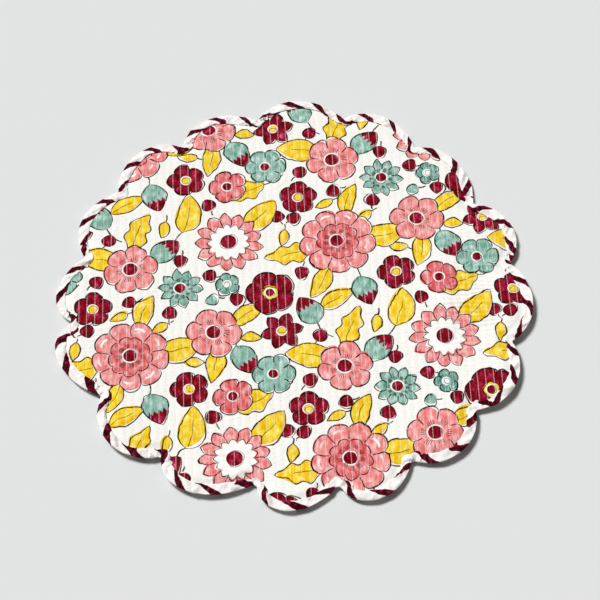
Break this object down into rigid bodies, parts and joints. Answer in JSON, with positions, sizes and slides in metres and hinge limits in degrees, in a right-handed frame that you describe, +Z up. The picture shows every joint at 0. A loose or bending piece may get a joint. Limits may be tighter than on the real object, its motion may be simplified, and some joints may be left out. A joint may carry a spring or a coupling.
{
  "type": "quilted fabric placemat",
  "caption": "Round quilted cotton placemat with straight sewn channels and a scalloped rim bound in bias tape, lying flat.",
  "frame": {"origin": "on the table, under the middle of the mat's outline box", "axes": "+Z up out of the printed face, quilted channels along Y, the picture's near side towards -Y"},
  "size_m": [0.3798, 0.381, 0.0064],
  "materials": {
    "printed_cotton": "white cotton with a floral block print in pink, teal, burgundy and yellow, hand-quilted in straight channels",
    "striped_tape": "white cotton bias tape with slanting burgundy stripes, folded over the edge"
  },
  "bodies": {
    "root": {"quilted_cloth": "printed_cotton", "scalloped_binding": "striped_tape"}
  },
  "joints": []
}
